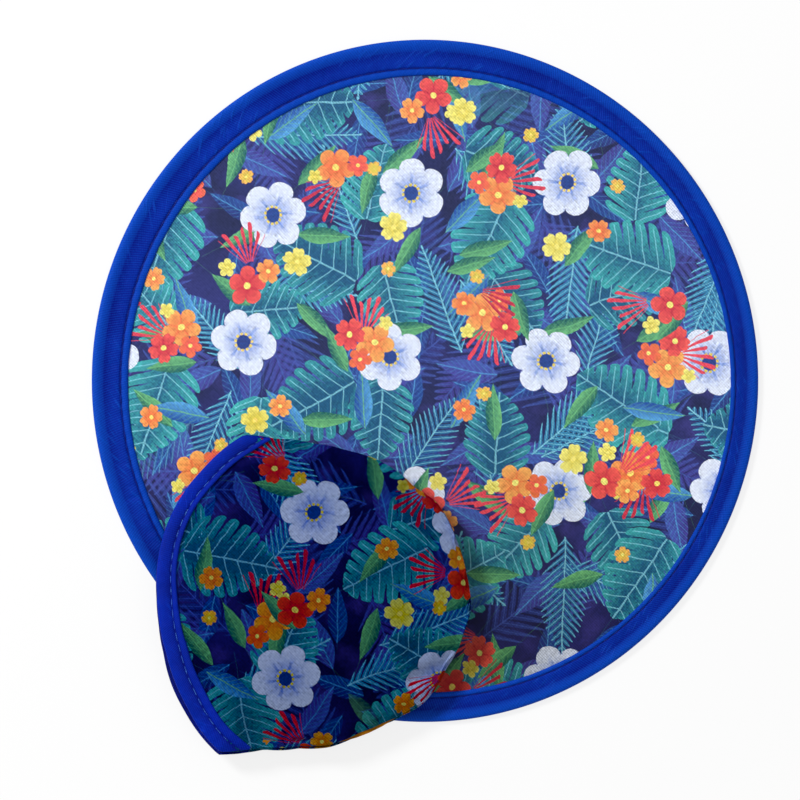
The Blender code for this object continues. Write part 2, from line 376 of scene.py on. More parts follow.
def whiteBehind(tree, kind, lit, end, share=1):
    # the camera, and what mirrors or lets through, see white here; all else sees the lit shader
    white = addNode(tree, kind)
    path = addNode(tree, "ShaderNodeLightPath")
    seen = field(tree, path.outputs["Is Camera Ray"])
    for ray in ("Is Glossy Ray", "Is Transmission Ray"):
        seen = seen.maths("MAXIMUM", field(tree, path.outputs[ray]))
    mixed = addNode(tree, "ShaderNodeMixShader", {0: seen * share})
    for slot, shader in zip(mixed.inputs[1:], (lit, white)):
        tree.links.new(shader.outputs[0], slot)
    tree.links.new(mixed.outputs[0], tree.nodes[end].inputs["Surface"])


def buildStage():
    s = stageSettings
    scene = bpy.context.scene
    scene.view_settings.view_transform = "Standard"
    across, along = fromPhoto(photo["middle"], photo["middle"])
    aim = Vector((fanMiddle.x + across, fanMiddle.y + along, 0))
    camera = bpy.data.objects.new("camera", bpy.data.cameras.new("camera"))
    scene.collection.objects.link(camera)
    camera.location = aim + Vector((0, 0, s["cameraHeight"]))
    camera.data.sensor_width = s["sensor"]
    camera.data.lens = s["sensor"] * s["cameraHeight"] / (photo["side"] * metresPerPixel)
    camera.data.clip_end = s["clipEnd"]
    scene.camera = camera

    f = s["floor"]
    material, tree = newMaterial("whiteFloor")
    tone = (*[f["tone"]] * 3, 1)
    finishMaterial(material, {"Base Color": tone, "Roughness": f["roughness"], "Specular IOR Level": 0})
    whiteBehind(tree, "ShaderNodeEmission", tree.nodes["Principled BSDF"], "Material Output", f["glow"])
    bpy.ops.mesh.primitive_circle_add(vertices=f["sides"], radius=f["radius"], fill_type="NGON",
                                      location=(0, 0, -f["sink"]))
    floor = bpy.context.active_object
    floor.name = "floor"
    floor.data.materials.append(material)

    world = bpy.data.worlds.new("paleRoom")
    scene.world = world
    world.use_nodes = True
    tree = world.node_tree
    room = tree.nodes["Background"]
    room.inputs["Strength"].default_value = s["worldLight"]
    room.inputs["Color"].default_value = (1, 1, 1, 1)
    whiteBehind(tree, "ShaderNodeBackground", room, "World Output")
    for name in s["lamps"]:
        addLamp(name, aim)


# The print: leaves and flowers in layers, each on its own jittered grid

printLook = {name: paint(*tones) for name, tones in {
    "ground": (34, 34, 104), "groundDeep": (14, 14, 58), "groundViolet": (66, 58, 146),
    "shadeLeaf": (30, 44, 122), "shadeLeafLight": (66, 92, 182), "violetLeaf": (66, 54, 150),
    "frond": (12, 84, 140), "frondLight": (56, 164, 200), "frondVein": (140, 220, 236),
    "splitLeaf": (4, 84, 120), "splitLeafLight": (62, 186, 180),
    "leafGreen": (10, 96, 80), "leafGreenLight": (110, 190, 116),
    "leafBlue": (14, 76, 160), "leafBlueLight": (78, 160, 220),
    "petalOrange": (240, 112, 32), "petalAmber": (252, 176, 74), "petalRed": (206, 26, 34),
    "petalCoral": (246, 84, 60), "petalYellow": (226, 206, 52), "petalLemon": (250, 242, 120),
    "petalPale": (228, 236, 252), "petalPaleShade": (104, 140, 220), "heart": (254, 222, 92),
    "sprig": (196, 20, 48), "sprigLight": (244, 66, 76),
}.items()}

# each row: seed, distance from motif to motif in mm, then its own sizes in mm and its colours
printRows = {
    "edge": 0.22,
    "jitter": 0.22,  # how far a motif strays from its place, as a share of the distance between motifs
    "bunchJitter": 0.34,
    "flowerJitter": 0.45,
    # length, width and step from leaflet to leaflet, as shares of the distance between motifs
    "dimFrondShape": (0.46, 0.26, 0.085),
    "dimLeafShape": (0.46, 0.15),
    "frondShape": (0.40, 0.17),
    "leafShape": (0.33, 0.095),
    "frondStep": 2.7,
    # the share of places in a row that stay empty
    "leftOut": {"fronds": 0.2, "splitLeaves": 0.25, "leaves": 0.3, "flowers": 0.3},
    # how many petals, and how deep they are parted
    "flowerPetals": (5, 0.44),
    "blossomPetals": (6, 0.30),
    "flowerNotch": 0.12,
    "dimFronds": [(1, 45, "shadeLeaf", "shadeLeafLight"), (2, 38, "violetLeaf", "shadeLeafLight")],
    "dimLeaves": [(3, 23, "shadeLeaf", "leafBlue"), (4, 26, "violetLeaf", "shadeLeafLight")],
    "fronds": [(5, 47), (6, 53)],
    "splitLeaves": [(7, 46, 14.5), (8, 57, 17.5)],
    "leaves": [(9, 31, "leafGreen", "leafGreenLight"), (10, 35, "leafBlue", "leafBlueLight")],
    "blossoms": (12, 56, 0.30),
    "petalRings": [(12.6, 0.0, 0.0), (9.2, 0.55, 0.25)],  # size, turn, how much deeper
    # each flower: place in the bunch, size, colours, how deep its petals are notched
    "bunches": [
        (13, 60, [
            (5.0, 1.5, 7.4, "petalOrange", "petalAmber", 0.0),
            (-5.0, 3.0, 6.2, "petalRed", "petalCoral", 0.14),
            (0.5, -5.5, 4.4, "petalCoral", "petalOrange", 0.0),
            (7.5, 9.5, 2.8, "petalYellow", "petalLemon", 0.0),
        ]),
        (14, 67, [
            (-3.0, -3.5, 7.0, "petalRed", "petalCoral", 0.0),
            (6.0, -0.5, 4.8, "petalOrange", "petalAmber", 0.1),
            (-8.5, 5.0, 3.4, "petalYellow", "petalLemon", 0.0),
        ]),
    ],
    "flowers": [(17, 62, 5.8, "petalYellow", "petalLemon"), (18, 49, 3.0, "petalYellow", "petalAmber"),
                (19, 58, 4.6, "petalOrange", "petalAmber")],
}


def repeatOf(value):
    return abs(value.maths("FRACT") - 0.5)   # 0 in the middle of each step, 0.5 at its ends


def gridMotif(tree, across, along, cell, seed, jitter):
    # local x and y in metres from a motif's middle, turned at random, and three random values for it
    ux = across / cell + seed * 1.37
    uy = along / cell + seed * 2.91
    cx, cy = ux.maths("FLOOR"), uy.maths("FLOOR")
    number = cx * 12.9898 + cy * 78.233 + seed * 7.31
    rolls = []
    for offset in (0.31, 5.17):
        which = {"W": number + offset}
        noise = valueOf(tree, "ShaderNodeTexWhiteNoise", which, "Color", noise_dimensions="1D")
        parts = addNode(tree, "ShaderNodeSeparateColor", {0: noise})
        rolls.append([field(tree, out) for out in parts.outputs])
    (sx, sy, sz), dice = rolls
    x = (ux - cx - 0.5 - (sx - 0.5) * jitter) * cell
    y = (uy - cy - 0.5 - (sy - 0.5) * jitter) * cell
    cosine, sine = (sz * math.tau).maths("COSINE"), (sz * math.tau).maths("SINE")
    return x * cosine - y * sine, x * sine + y * cosine, *dice


def frondMotif(tree, x, y, length, width, pitch, soft):
    side = abs(x)
    reach = (1 - (y / length) ** 2) * width
    taper = (side / reach.maths("MAXIMUM", 0.1 * mm)).clamped()
    step = repeatOf((y - side * 0.95) / pitch)
    leaflet = (0.40 - taper * taper * 0.34 - step) * pitch
    mask = leaflet.edge(soft) * (reach - side).edge(soft) * (length * 0.98 - abs(y)).edge(soft)
    rib = (0.28 * mm - side).edge(soft) * (length - abs(y)).edge(soft)
    vein = (0.055 - step).edge(0.06) * mask
    return mask.maths("MAXIMUM", rib), vein.maths("MAXIMUM", rib), taper


def splitLeafMotif(tree, x, y, length, soft):
    # a heart-shaped blade, slit from its margin toward the middle rib
    side = abs(x)
    reach = (1 - ((y + side * 0.35) / length) ** 2).maths("MAXIMUM", 0).maths("SQRT") * length * 0.86
    step = repeatOf((y - side * 0.5) / (length * 0.30))
    lobed = reach * (1 - (step * 2) ** 3 * 0.22)
    share = side / reach.maths("MAXIMUM", 0.1 * mm)
    slit = (step - 0.56 + share.clamped() * 0.22) * length * 0.30
    mask = (lobed - side).edge(soft) * (1 - slit.edge(soft) * (share - 0.36).edge(0.08))
    vein = (0.22 * mm - step * length * 0.30).edge(soft) * (0.9 - share).edge(0.1)
    rib = (0.32 * mm - side).edge(soft)
    return mask, vein.maths("MAXIMUM", rib) * mask, share.clamped()


def leafMotif(tree, x, y, length, width, soft):
    shift = y / length
    reach = (1 - shift * shift).maths("MAXIMUM", 0) * (1 - shift * 0.35) * width
    side = abs(x)
    mask = (reach - side).edge(soft)
    vein = (0.10 - repeatOf((y - side * 1.3) / (2.4 * mm))).edge(0.10) * 0.35
    rib = (0.20 * mm - side).edge(soft)
    return mask, vein.maths("MAXIMUM", rib) * mask, (x / width * 0.5 + 0.5).clamped()


def flowerMotif(tree, x, y, size, petals, depth, notch, soft):
    angle = y.maths("ARCTAN2", x)
    radius = (x * x + y * y).maths("SQRT")
    lobe = abs((angle * petals / 2).maths("COSINE"))
    outline = (lobe ** 0.55 * depth + (1 - depth)) * (1 - lobe ** 14 * notch) * size
    mask = (outline - radius).edge(soft)
    seam = (0.30 - lobe).edge(0.30) * 0.55
    return mask, seam, radius / outline, (size * 0.17 - radius).edge(soft)


def sprigMotif(tree, x, y, size, soft):
    # strokes that spread from one foot and thicken to their tips
    angle = x.maths("ARCTAN2", y)
    radius = (x * x + y * y).maths("SQRT")
    strokes = 4.6
    lobe = repeatOf(angle * strokes + 0.5) / strokes
    thick = radius * 0.044 + 0.08 * mm
    tip = size * (1 - (lobe * strokes * 2) ** 2 * 0.16)
    reach = (tip - radius + (angle * 9).maths("SINE") * size * 0.12).edge(soft)
    foot = (radius - size * 0.16).edge(soft)
    return ((thick - lobe * radius).edge(soft) * (0.62 - abs(angle)).edge(0.02) * reach * foot,)


def layerMotif(tree, under, mask, low, high, amount, vein, veinTone, strokes):
    # one motif painted over what lies under it, its colour uneven as brush strokes leave it
    tone = mixColour(tree, (amount + (strokes - 0.5) * 0.9).clamped(), low, high)
    tone = mixColour(tree, vein, tone, veinTone)
    return (mixColour(tree, mask, under, tone),)


def buildPrint():
    look, rows = printLook, printRows
    useGrid = motifGroup("jitteredGrid", "across along cell seed jitter", "x y a b c", gridMotif)
    useFrond = motifGroup("frond", "x y length width pitch soft", "mask vein taper", frondMotif)
    useSplitLeaf = motifGroup("splitLeaf", "x y length soft", "mask vein share", splitLeafMotif)
    useLeaf = motifGroup("pointedLeaf", "x y length width soft", "mask vein side", leafMotif)
    useFlower = motifGroup("flower", "x y size petals depth notch soft", "mask seam share heart", flowerMotif)
    useSprig = motifGroup("sprig", "x y size soft", "mask", sprigMotif)
    useLayer = motifGroup("layer", "toneUnder mask toneLow toneHigh amount vein toneVein strokes", "toneOver",
                          layerMotif)

    tree = bpy.data.node_groups.new("botanicalPrint", "ShaderNodeTree")
    tree.interface.new_socket("Place", in_out="INPUT", socket_type="NodeSocketVector")
    tree.interface.new_socket("Color", in_out="OUTPUT", socket_type="NodeSocketColor")
    source = tree.nodes.new("NodeGroupInput")
    sink = tree.nodes.new("NodeGroupOutput")
    place = field(tree, source.outputs["Place"])
    soft = rows["edge"] * mm
    cloud = noiseOf(tree, place, 34.0, 3.0)
    strokes = noiseOf(tree, place, 900.0)
    patches = noiseOf(tree, place, 75.0)
    # the brush is never quite steady, so every motif's edge wanders a little
    across, along, _ = separate(tree, place)
    across = across + (strokes - 0.5) * 0.5 * mm + (patches - 0.5) * 2 * mm
    along = along + (cloud - 0.5) * 4 * mm - (strokes - 0.5) * 0.4 * mm
    colour = mixColour(tree, ((cloud - 0.42) * 4).clamped(), look["groundDeep"], look["ground"])
    colour = mixColour(tree, ((patches - 0.52) * 5).clamped() * 0.55, colour, look["groundViolet"])

    def lay(mask, low, high, amount, vein=0.0, veinTone="ground"):
        nonlocal colour
        colour, = useLayer(colour, mask, look[low], look[high], amount, vein, look[veinTone], strokes)

    def grid(seed, cell, jitter=rows["jitter"]):
        x, y, *dice = useGrid(across, along, cell * mm, seed, jitter)
        return x, y, dice

    def shaped(cell, name):
        return [cell * share * mm for share in rows[name]]

    def kept(roll, row):
        return (roll - rows["leftOut"][row]).edge(0.01)

    def layFlower(x, y, size, low, high, there, roll, notch):
        mask, seam, share, heart = useFlower(x, y, size * mm, *rows["flowerPetals"], notch, soft)
        lay(mask * there, low, high, share * 0.9 + roll * 0.5 - 0.30 - seam)
        lay(heart * there, "heart", "petalLemon", roll)

    # dim foliage far down in the ground
    for seed, cell, low, high in rows["dimFronds"]:
        x, y, dice = grid(seed, cell)
        mask, vein, taper = useFrond(x, y, *shaped(cell, "dimFrondShape"), soft * 2)
        lay(mask * 0.66, low, high, taper * 0.7, vein, "shadeLeafLight")
    for seed, cell, low, high in rows["dimLeaves"]:
        x, y, dice = grid(seed, cell)
        mask, vein, side = useLeaf(x, y, *shaped(cell, "dimLeafShape"), soft * 1.6)
        lay(mask * 0.74, low, high, side, vein, "leafBlueLight")

    # teal fronds, split leaves and pointed leaves
    for seed, cell in rows["fronds"]:
        x, y, dice = grid(seed, cell)
        mask, vein, taper = useFrond(x, y, *shaped(cell, "frondShape"), rows["frondStep"] * mm, soft)
        mask = mask * kept(dice[2], "fronds") * 0.95
        lay(mask, "frond", "frondLight", taper * 0.5 + dice[0] * 0.4, vein * 0.75, "frondVein")
    for seed, cell, length in rows["splitLeaves"]:
        x, y, dice = grid(seed, cell)
        mask, vein, share = useSplitLeaf(x, y, length * mm, soft)
        mask = mask * kept(dice[2], "splitLeaves")
        lay(mask, "splitLeaf", "splitLeafLight", share * 0.8 + dice[1] * 0.4 - 0.25, vein * 0.6, "frondVein")
    for seed, cell, low, high in rows["leaves"]:
        x, y, dice = grid(seed, cell)
        mask, vein, side = useLeaf(x, y, *shaped(cell, "leafShape"), soft)
        lay(mask * kept(dice[2], "leaves"), low, high, side * 1.1 - 0.1, vein * 0.8, "leafGreenLight")

    # pale blossoms of two rings of petals
    x, y, dice = grid(*rows["blossoms"])
    for size, turn, amount in rows["petalRings"]:
        px = x * math.cos(turn) - y * math.sin(turn)
        py = x * math.sin(turn) + y * math.cos(turn)
        mask, seam, share, heart = useFlower(px, py, size * mm, *rows["blossomPetals"], 0.0, soft)
        lay(mask, "petalPaleShade", "petalPale", share * 1.1 - amount - seam * 0.9 + 0.16)
    reach = (x * x + y * y).maths("SQRT")
    lay((2.6 * mm - reach).edge(soft), "leafBlue", "ground", 0.4 + dice[0] * 0.2)
    dots = (0.45 * mm - abs(reach - 3.0 * mm)).edge(soft)
    dots = dots * ((y.maths("ARCTAN2", x) * 5.5).maths("SINE") ** 2 - 0.3).edge(0.2)
    lay(dots, "petalYellow", "heart", dice[1])

    # bunches: a red sprig and a pointed leaf behind, flowers of several sizes in front
    for seed, cell, flowers in rows["bunches"]:
        x, y, dice = grid(seed, cell, rows["bunchJitter"])
        sprig, = useSprig(x, y - 2 * mm, 15.5 * mm, soft)
        lay(sprig, "sprig", "sprigLight", dice[1])
        fx, fy = x * 0.8 + y * 0.6 + 9 * mm, y * 0.8 - x * 0.6 - 3 * mm
        mask, vein, side = useLeaf(fx, fy, 9.5 * mm, 2.9 * mm, soft)
        lay(mask, "leafGreen", "leafGreenLight", side * 1.1 - 0.1, vein * 0.8, "leafGreenLight")
        for fx, fy, size, low, high, notch in flowers:
            there = (dice[0] - 0.15 if fx > 0 else 0.85 - dice[0]).edge(0.01)
            layFlower(x - fx * mm, y - fy * mm, size, low, high, there, dice[1], notch)
    for seed, cell, size, low, high in rows["flowers"]:
        x, y, dice = grid(seed, cell, rows["flowerJitter"])
        layFlower(x, y, size, low, high, kept(dice[2], "flowers"), dice[0], rows["flowerNotch"])
    tree.links.new(colour.socket, sink.inputs["Color"])
    return tree


clothLooks = {
    "fanPrint": {
        "sheenWash": paint(130, 150, 210), "sheenWashAmount": 0.085, "saturation": 0.98, "value": 1.0,
        "tint": (1, 1, 1, 1), "paintedSheenFrom": 0.85, "paintedShadowAt": (0.022, -0.104), "paintedShadowReach": 0.078,
        "paintedShadowStrength": 0.56, "patternShift": (0.013, 0.021, 0.0), "roughness": 0.62, "sheen": 0.05,
        "specular": 0.10, "grain": 0.44,
    },
    # the pouch wears the same print, painted darker and bluer through value and tint as painted shade
    "pouchPrint": {
        "sheenWash": paint(10, 30, 120), "sheenWashAmount": 0.03, "saturation": 1.06, "value": 0.33,
        "tint": (0.78, 0.92, 1.30, 1), "paintedSheenFrom": 0.5, "paintedShadowAt": (0.0, -0.05), "paintedShadowReach": 0.06,
        "paintedShadowStrength": 0.12, "patternShift": (0.231, 0.118, 0.0), "roughness": 0.50, "sheen": 0.0,
        "specular": 0.0, "grain": 0.64,
    },
}
weave = {
    "warp": 1.05 * mm, "weft": 1.30 * mm, "slubs": 1250.0, "patchyLightScale": 11.0, "bump": 0.30, "deep": 0.08 * mm,
}


def clothMaterial(name, group):
    s = clothLooks[name]
    material, tree = newMaterial(name)
    place = readPlace(tree)
    shifted = valueOf(tree, "ShaderNodeVectorMath", {0: place, 1: s["patternShift"]}, operation="ADD")
    printed = addNode(tree, "ShaderNodeGroup", node_tree=group)
    plug(tree, printed.inputs["Place"], shifted)
    x, y, _ = separate(tree, place)
    # the weave is seen as a fine diagonal grain, with slubs
    slub = noiseOf(tree, combine(tree, (x + y) * 0.9, (y - x) * 0.4), weave["slubs"])
    warp = ((x + y + slub * 0.5 * mm) * (math.tau / weave["warp"])).maths("SINE")
    weft = ((x - y) * (math.tau / weave["weft"])).maths("SINE")
    grain = warp * 0.4 + weft * 0.2 + (slub - 0.5) * 2.6
    # patchy noise that makes the painted sheen and the painted shadow below uneven
    patchyLight = noiseOf(tree, place, weave["patchyLightScale"])
    tuned = valueOf(tree, "ShaderNodeHueSaturation", {
        "Saturation": s["saturation"], "Value": s["value"], "Color": field(tree, printed.outputs["Color"])})
    # painted sheen: a pale wash over the print, stronger toward the cloth's top than its foot, stands in for
    # light the cloth catches
    paintedSheen = ((patchyLight - 0.5) * 0.8 + s["paintedSheenFrom"] + y * 9).clamped() * s["sheenWashAmount"]
    colour = mixColour(tree, paintedSheen, tuned, s["sheenWash"])
    colour = mixColour(tree, 1.0, colour, s["tint"], "MULTIPLY")
    # and a painted shadow darkens the print round one place toward its foot (on the fan, beside the pouch,
    # where the pouch shades it)
    fromX, fromY = x - s["paintedShadowAt"][0], y - s["paintedShadowAt"][1]
    far = (fromX * fromX + fromY * fromY).maths("SQRT")
    depth = (1.15 - far / s["paintedShadowReach"] + (patchyLight - 0.5) * 0.5).clamped()
    shade = (grain * s["grain"] + 1) * (1 - depth * s["paintedShadowStrength"])
    return finishMaterial(material, {
        "Base Color": mixColour(tree, 1.0, colour, shade, "MULTIPLY"),
        "Roughness": s["roughness"] + grain * 0.03, "Sheen Weight": s["sheen"], "Sheen Roughness": 0.4,
        "Specular IOR Level": s["specular"],
    }, (grain, weave["bump"], weave["deep"]))


tapeLooks = {
    "fanTape": {
        "deep": paint(0, 14, 118), "main": paint(2, 44, 160), "bright": paint(6, 74, 188),
        "rib": 0.95 * mm, "slope": 0.5, "roll": 4.4 * mm, "width": 12.5 * mm, "lip": 2.45 * mm,
        "stitch": 9.95 * mm, "valley": 0.46, "valleyAt": 0.38, "stitchShade": 0.7, "mottle": 1.6,
        "base": 0.66, "shine": 0.88, "weave": 0.30,
    },
    "mouthTape": {
        "deep": paint(0, 2, 92), "main": paint(0, 22, 148), "bright": paint(2, 54, 192),
        "rib": 0.80 * mm, "slope": 0.7, "roll": 5.0 * mm, "width": 7.7 * mm, "lip": 2.6 * mm,
        "stitch": 4.9 * mm, "valley": 0.20, "valleyAt": 0.55, "stitchShade": 0.6, "mottle": 3.4,
        "base": 0.62, "shine": 0.34, "weave": 0.30,
    },
}
# the lower side's tape is the same, in the shade
tapeLooks["backTape"] = tapeLooks["mouthTape"] | {
    "deep": paint(0, 0, 64), "main": paint(0, 8, 104), "bright": paint(0, 30, 146),
    "stitchShade": 0.5, "mottle": 2.4, "base": 0.55, "shine": 0.15, "weave": 0.26,
}
twill = {
    "cross": 0.7 * mm, "flecks": 1900.0, "mottles": 42.0, "pulls": 900.0, "bump": 0.5, "deep": 0.1 * mm,
}


def tapeMaterial(name):
    s = tapeLooks[name]
    material, tree = newMaterial(name)
    place = readPlace(tree)
    along, across, _ = separate(tree, place)
    rib = ((along + across * s["slope"]) * (math.tau / s["rib"])).maths("SINE")
    cross = ((along * 0.4 - across) * (math.tau / twill["cross"])).maths("SINE")
    fleck = noiseOf(tree, place, twill["flecks"], 1.0)
    broad = noiseOf(tree, place, twill["mottles"], 3.0)
    # where the sewing pulls the tape, thin creases run aslant across it
    aslant = combine(tree, (along * 0.86 + across * 0.5) * 0.16, across * 0.86 - along * 0.5)
    pull = noiseOf(tree, aslant, twill["pulls"])
    crease = ((pull - 0.54) * 7).clamped() * ((broad - 0.42) * 7).clamped()
    grain = rib * 0.7 + cross * 0.2 + (fleck - 0.5) * 1.8
    # painted highlight on the fold over the hoop and on the sewn lip, painted shade on the flat valley
    # between them
    rolled = (1 - across / s["roll"]).clamped() ** 0.5
    lipped = ((across - (s["width"] - s["lip"])) / (0.35 * mm)).clamped()
    valley = (1 - abs(across - s["width"] * s["valleyAt"]) / (s["width"] * 0.20)).clamped()
    even = ((broad - 0.5) * s["mottle"] + s["base"] - valley * s["valley"]).clamped()
    tone = mixColour(tree, even, s["deep"], s["main"])
    tone = mixColour(tree, (rolled.maths("MAXIMUM", lipped * 0.72) * s["shine"]).clamped(), tone, s["bright"])
    # painted glints: besides their bump, the creases are mixed toward the bright tone
    tone = mixColour(tree, crease * (1 - lipped) * 0.5, tone, s["bright"])
    tone = mixColour(tree, (grain * s["weave"] + 0.06).clamped(), tone, s["bright"])
    tone = mixColour(tree, (grain * -s["weave"] + 0.04).clamped(), tone, s["deep"])
    sunk = across - s["stitch"] - (broad - 0.5) * 0.5 * mm
    shade = ((sunk / (0.42 * mm)) ** 2 * -1).maths("EXPONENT") * s["stitchShade"]
    return finishMaterial(material, {
        "Base Color": mixColour(tree, shade, tone, paint(0, 8, 98)),
        "Roughness": 0.5 - grain * 0.05, "Specular IOR Level": 0.05,
    }, (grain + crease * 2.4, twill["bump"], twill["deep"]))


def threadMaterial(name, dark, light):
    material, tree = newMaterial(name)
    ply = noiseOf(tree, objectPlace(tree), 3800.0, 1.0)
    return finishMaterial(material, {
        "Base Color": mixColour(tree, ((ply - 0.4) * 4).clamped(), paint(*dark), paint(*light)),
        "Roughness": 0.5, "Specular IOR Level": 0.15,
    }, (ply, 0.3, 0.05 * mm))


def steelMaterial(name):
    material, tree = newMaterial(name)
    streak = noiseOf(tree, objectPlace(tree), 700.0, 3.0)
    return finishMaterial(material, {
        "Base Color": mixColour(tree, streak, paint(150, 152, 158), paint(205, 206, 210)),
        "Roughness": streak * 0.25 + 0.22, "Metallic": 1.0,
    })


# The edge tape is made round the whole fan and then cut half way along each run of the hoop

ringSettings = {
    "steps": 1440,
    "hoopSteps": 40,  # to a run
    "width": 12.5 * mm,
    "stitchFromLip": 2.55 * mm,
    "stitchesPerRun": 9,
    # the upper skin from the outer edge inward: share of the width, share of the casing's half height
    "skinShares": [
        (0.0, 0.0), (0.004, 0.28), (0.018, 0.55), (0.045, 0.80), (0.085, 0.96), (0.125, 1.0), (0.17, 0.985),
        (0.225, 0.90), (0.29, 0.76), (0.37, 0.66), (0.47, 0.63), (0.57, 0.66), (0.66, 0.72), (0.73, 0.73),
        (0.765, 0.64), (0.785, 0.52), (0.798, 0.46), (0.811, 0.52), (0.828, 0.66), (0.86, 0.80),
        (0.90, 0.84), (0.94, 0.80), (0.972, 0.68), (0.992, 0.46), (1.0, 0.26),
    ],
    "sharpFrom": 50,
}
# how uneven the tape is: the height of each kind of unevenness, and where beside the stitches it lies
unevenness = {
    "Pucker": 0.10 * mm, "Pucker Reach": 1.5 * mm,
    "Crease": 0.26 * mm, "Crease Start": 1.2 * mm, "Crease Fade": 4.2 * mm, "Crease Reach": 3.2 * mm,
    "Swell": 0.22 * mm, "Swell Reach": 9.5 * mm,
    "Wander": 0.16 * mm, "Wander Start": 1.5 * mm, "Wander Reach": 2.5 * mm,
}


def ringTree(values, material):
    tree, given, sink = geometryTree("tapeRing", values)
    outline = valueOf(tree, "GeometryNodeMeshToCurve", {0: given["Geometry"]})
    around = {"Resolution": given["Steps"], "Radius": given["Radius"]}
    circle = valueOf(tree, "GeometryNodeCurvePrimitiveCircle", around)
    swept = valueOf(tree, "GeometryNodeCurveToMesh", {"Curve": circle, "Profile Curve": outline})
    position = valueOf(tree, "GeometryNodeInputPosition")
    x, y, z = separate(tree, position)
    radius = (x * x + y * y).maths("SQRT")
    angle = y.maths("ARCTAN2", x)
    out = radius - given["Stitch Radius"]
    blotch = noiseOf(tree, position, 55.0)
    fine = noiseOf(tree, position, 190.0)
    near = (out / given["Pucker Reach"]) ** 2
    pucker = (near * -1).maths("EXPONENT") * (angle * given["Stitches"]).maths("COSINE") * given["Pucker"]
    # creases that the stitches pull out across the tape
    band = (1 - (out - given["Crease Fade"]) / given["Crease Reach"]).clamped()
    band = (out / given["Crease Start"]).clamped() * band
    wave = (angle * 74 + out * 760 + blotch * 16).maths("SINE").clamped() ** 3
    wave = wave + (angle * 131 - out * 540 + blotch * 23).maths("SINE").clamped() ** 4 * 0.7
    crease = band * wave * ((blotch - 0.40) * 5).clamped() * given["Crease"]
    swell = (fine - 0.5) * given["Swell"] * (1 - out / given["Swell Reach"]).clamped()
    lift = (pucker - crease + swell) * z.maths("SIGN")
    shift = ((given["Wander Start"] - out) / given["Wander Reach"]).clamped()
    shift = (fine - 0.5) * 2 * given["Wander"] * shift
    offset = combine(tree, x / radius * shift, y / radius * shift, lift)
    moved = valueOf(tree, "GeometryNodeSetPosition", {"Geometry": swept, "Offset": offset})
    return finishShape(tree, sink, moved, material)


def ringOutline():
    # the outline's second axis points down once it is swept round
    s = ringSettings
    half = casingTop - fanMiddle.z
    upper = [(-share * s["width"], -tall * half) for share, tall in s["skinShares"]]
    spots = upper + [(x, -y) for x, y in reversed(upper[1:])]
    mesh = bpy.data.meshes.new("tapeOutline")
    edges = [(k, (k + 1) % len(spots)) for k in range(len(spots))]
    mesh.from_pydata([(x, y, 0) for x, y in spots], edges, [])
    return mesh


def pieceSpan(index):
    # where a stretch begins and how far it runs: from the middle of one run to the middle of the next
    start = openEnd + max(0, index - 0.5) * linkAngle
    return start, linkAngle / 2 if index in (0, runs) else linkAngle


def attachPiece(piece, index, node=None):
    # a stretch of ring at an open end goes with the one body there; a stretch between two bodies is left
    # unattached, its transform baked
    bodies = linkNames[max(0, index - 1):index + 1]
    if len(bodies) == 1:
        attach(piece, bodies[0])
    else:
        start, sweep = pieceSpan(index)
        onRing(start, hingeRadius)
        onRing(start + sweep, hingeRadius)
        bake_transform(piece)
    if node and index:
        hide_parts(f"{node}_{index:02d}")


def onRing(angle, radius, height=0.0):
    return Vector(ovalOf(fanMiddle + Vector((radius * math.cos(angle), radius * math.sin(angle), height))))


def buildRing(material):
    # the ring's faces are shared out to its nineteen stretches, each closed again at its ends
    s = ringSettings
    stitchRadius = fanRadius - s["width"] + s["stitchFromLip"]
    helper = newObject("tapeOutline", ringOutline())
    values = {"Radius": fanRadius, "Steps": s["steps"], "Stitch Radius": stitchRadius,
              "Stitches": float(s["stitchesPerRun"] * runs)} | unevenness
    ring = growNodes(helper, ringTree(values, material), values)
    spots = spotsOf(ring)
    faces = np.array([face.vertices[:] for face in ring.polygons])
    middles = spots[faces].mean(axis=1)
    turn = (np.arctan2(middles[:, 1], middles[:, 0]) - openEnd) % math.tau
    owner = (np.floor(turn / (linkAngle / 2)).astype(int) + 1) // 2
    for index in range(runs + 1):
        mine = faces[owner == index]
        used, inverse = np.unique(mine, return_inverse=True)
        local = spots[used]
        mesh = bpy.data.meshes.new(f"edge_tape_{index:02d}")
        mesh.from_pydata((local + np.array(fanMiddle)).tolist(), [], inverse.reshape(mine.shape).tolist())
        closeMesh(mesh)
        start, sweep = pieceSpan(index)
        middle = start + sweep / 2
        turns = np.arctan2(local[:, 1], local[:, 0])
        turns = np.array([middle + math.remainder(a - middle, math.tau) for a in turns])
        inward = fanRadius - np.hypot(local[:, 0], local[:, 1])
        storePlace(mesh, np.stack([turns * fanRadius, inward, local[:, 2]], axis=1))
        makeOval(mesh)
        shadeRound(mesh, s["sharpFrom"])
        attachPiece(newObject(mesh.name, mesh, material), index, "binding")
    bpy.data.objects.remove(helper)
    return stitchRadius


